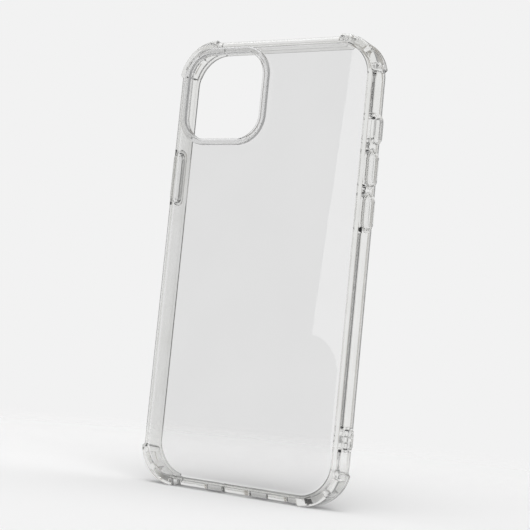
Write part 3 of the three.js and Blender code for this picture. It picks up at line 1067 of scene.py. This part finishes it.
# ---- Studio
@dataclass
class Studio:
    """A pale floor that fades into a pale surround, a soft lamp, a glowing card and the camera."""

    backdrop: str = "#F2F2F2"
    floor_tone: str = "#F6F6F6"
    floor_radius: float = 0.9  # metres
    floor_sides: int = 96
    floor_fade: Pair = (0.08, 0.45)  # metres from the middle at which it starts and ends
    lens: float = 82.24  # mm, on a sensor as wide as the next value
    sensor: float = 36.0
    camera_at: Triple = (222.510, -376.888, 48.393)
    aim: Triple = (1.361, 1.013, 83.106)
    roll: float = -5.633  # degrees that the camera leans
    # tones round the horizon, at degrees from -Y towards +X; the darker ones are flags beside the set
    sides: tuple[tuple[float, str], ...] = (
        (0, "#CDCDCD"), (28, "#F6F6F6"), (60, "#F6F6F6"), (74, "#959595"), (102, "#959595"),
        (114, "#F1F1F1"), (172, "#F1F1F1"), (184, "#AEAAA4"), (196, "#A7A29B"), (203, "#F1F1F1"),
        (236, "#F1F1F1"), (244, "#7C7C7C"), (258, "#7C7C7C"), (266, "#F3F3F3"), (284, "#F3F3F3"),
        (300, "#9E9E9E"), (345, "#9E9E9E"), (360, "#CDCDCD"),
    )
    lamp_at: Triple = (-0.15, -0.1, 1.1)  # metres
    lamp_aim: Triple = (0.0, 0.0, 0.08)
    lamp_size: float = 0.9
    lamp_power: float = 5.9  # watts
    card_y: float = -0.92  # metres; the plane of the glowing card
    card_top: Pair = (-0.428, 0.62)  # x and z of its upper left corner
    card_bend: Pair = (-0.457, 0.085)  # where its left edge starts to curve
    card_foot: Pair = (-0.413, -0.01)  # where the curve ends
    card_right: float = -0.08
    card_low: float = -0.1
    card_steps: int = 8  # along the curve
    card_glow: float = 1.7

    def camera(self) -> None:
        """Puts the camera at its place and makes it the scene's."""
        data = bpy.data.cameras.new("camera")
        data.lens = self.lens
        data.sensor_width = self.sensor
        data.sensor_fit = "HORIZONTAL"
        data.clip_start, data.clip_end = 0.01, 50.0
        made = new_object("camera", data)
        place, target = Vector(self.camera_at) * MM, Vector(self.aim) * MM
        forward = (target - place).normalized()
        right = forward.cross(Vector((0, 0, 1))).normalized()
        lean = math.radians(self.roll)
        up_leaning = right.cross(forward) * math.cos(lean) + right * math.sin(lean)
        turn = Matrix((forward.cross(up_leaning), up_leaning, -forward)).transposed()
        made.matrix_world = Matrix.Translation(place) @ turn.to_4x4()
        bpy.context.scene.camera = made

    def surround(self) -> None:
        """Makes the surround: pale to the camera, with darker sides that the plastic bends into view."""
        world = bpy.data.worlds.new("pale_studio")
        bpy.context.scene.world = world
        tree = emptied(world)
        parts = split(tree, add_node(tree, "ShaderNodeTexCoord").outputs["Generated"])
        turn = math_node(tree, "ARCTAN2", parts["X"], math_node(tree, "MULTIPLY", parts["Y"], -1.0))
        turns = math_node(tree, "ADD", math_node(tree, "DIVIDE", turn, math.tau), 1.0)
        ramp = add_node(tree, "ShaderNodeValToRGB", {"Fac": math_node(tree, "FRACT", turns)})
        elements = ramp.color_ramp.elements
        while len(elements) < len(self.sides):
            elements.new(0.5)
        for element, (degrees, tone) in zip(elements, self.sides):
            element.position = degrees / 360
            element.color = linear(tone)
        rays = add_node(tree, "ShaderNodeLightPath").outputs
        tones = {"Factor": rays["Is Camera Ray"], "A": ramp.outputs[0], "B": linear(self.backdrop)}
        seen = add_node(tree, "ShaderNodeMix", tones, data_type="RGBA")
        sky = add_node(tree, "ShaderNodeBackground", {"Color": seen.outputs["Result"], "Strength": 1.0})
        add_node(tree, "ShaderNodeOutputWorld", {"Surface": sky.outputs[0]})

    def _sheet_of(self, name: str, points: Sequence[tuple[float, ...]], material: Material) -> Object:
        """A flat stage piece with one face, whose corners are given in order and in metres."""
        mesh = bpy.data.meshes.new(name)
        mesh.from_pydata(points, [], [tuple(range(len(points)))])
        mesh.materials.append(material)
        made = new_object(name, mesh)
        return made

    def floor(self) -> None:
        """Makes the floor, a disc of pale paper that fades out towards its rim."""
        paper = bpy.data.materials.new("pale_paper_sweep")
        tree = emptied(paper)
        where = add_node(tree, "ShaderNodeTexCoord").outputs["Object"]
        away = add_node(tree, "ShaderNodeVectorMath", {0: where}, operation="LENGTH").outputs["Value"]
        start, end = self.floor_fade
        span = {"Value": away, "From Min": start, "From Max": end, "To Min": 0.0, "To Max": 1.0}
        fade = add_node(tree, "ShaderNodeMapRange", span, interpolation_type="SMOOTHSTEP")
        matt = add_node(tree, "ShaderNodeBsdfDiffuse", {"Color": linear(self.floor_tone), "Roughness": 1.0})
        finish_mixed(tree, fade.outputs["Result"], matt, add_node(tree, "ShaderNodeBsdfTransparent"))
        turns = [math.tau * i / self.floor_sides for i in range(self.floor_sides)]
        rim = [(self.floor_radius * math.cos(t), self.floor_radius * math.sin(t), 0.0) for t in turns]
        self._sheet_of("floor", rim, paper)

    def card(self) -> None:
        """Adds a glowing card with a rounded lower corner, which the back sheet mirrors."""
        start, end = Vector(self.card_bend), Vector(self.card_foot)
        pull = Vector((end.x, start.y))
        shares = [step / self.card_steps for step in range(1, self.card_steps + 1)]
        curve = [start.lerp(pull, share).lerp(pull.lerp(end, share), share) for share in shares]
        right = [(self.card_right, self.card_low), (self.card_right, self.card_top[1])]
        outline = [self.card_top, self.card_bend, *curve, (end.x, self.card_low), *right]
        paper = bpy.data.materials.new("glowing_diffuser")
        tree = emptied(paper)
        light = {"Color": linear("#FFFFFF"), "Strength": self.card_glow}
        glow = add_node(tree, "ShaderNodeEmission", light)
        add_node(tree, "ShaderNodeOutputMaterial", {"Surface": glow.outputs[0]})
        made = self._sheet_of("glow_card", [(x, self.card_y, z) for x, z in outline], paper)
        made.visible_camera = False
        made.visible_transmission = False
        made.visible_shadow = False

    def lamp(self) -> None:
        """Hangs the soft box over the set."""
        data = bpy.data.lights.new("overhead_softbox", "AREA")
        data.shape = "RECTANGLE"
        data.size = data.size_y = self.lamp_size
        data.energy = self.lamp_power
        made = new_object("overhead_softbox", data)
        made.location = self.lamp_at
        down = Vector(self.lamp_aim) - Vector(self.lamp_at)
        made.rotation_euler = down.to_track_quat("-Z", "Y").to_euler()
        made.visible_camera = False
        made.visible_transmission = False

    def build(self) -> None:
        """Makes the whole studio."""
        scene = bpy.context.scene
        scene.view_settings.view_transform = "Standard"
        # light runs a long way inside clear walls before it leaves them
        scene.cycles.max_bounces = 20
        scene.cycles.glossy_bounces = 6
        scene.cycles.transmission_bounces = 16
        scene.cycles.caustics_reflective = False
        scene.cycles.caustics_refractive = False
        self.camera()
        self.surround()
        self.floor()
        self.lamp()
        self.card()


def main() -> None:
    """Builds every piece in order, and the studio last."""
    logging.basicConfig(level=logging.INFO, format="%(name)s: %(message)s")
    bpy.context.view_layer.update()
    places = CasePlaces.read()
    sweep = RimSweep()
    sheet_plastic, bumper_plastic, button_plastic = (
        kind.material() for kind in (SHEET_PLASTIC, BUMPER_PLASTIC, BUTTON_PLASTIC)
    )
    bumper, guard = Bumper(places), CameraGuard(places)
    bumper.build(sweep, bumper_plastic, guard.opening.grown(guard.brim))
    guard.build(sweep, sheet_plastic)
    BackSheet(places, bumper, guard).build(sheet_plastic)
    for cover in button_covers(places):
        cover.build(button_plastic)
    Studio().build()


if __name__ == "__main__":
    main()
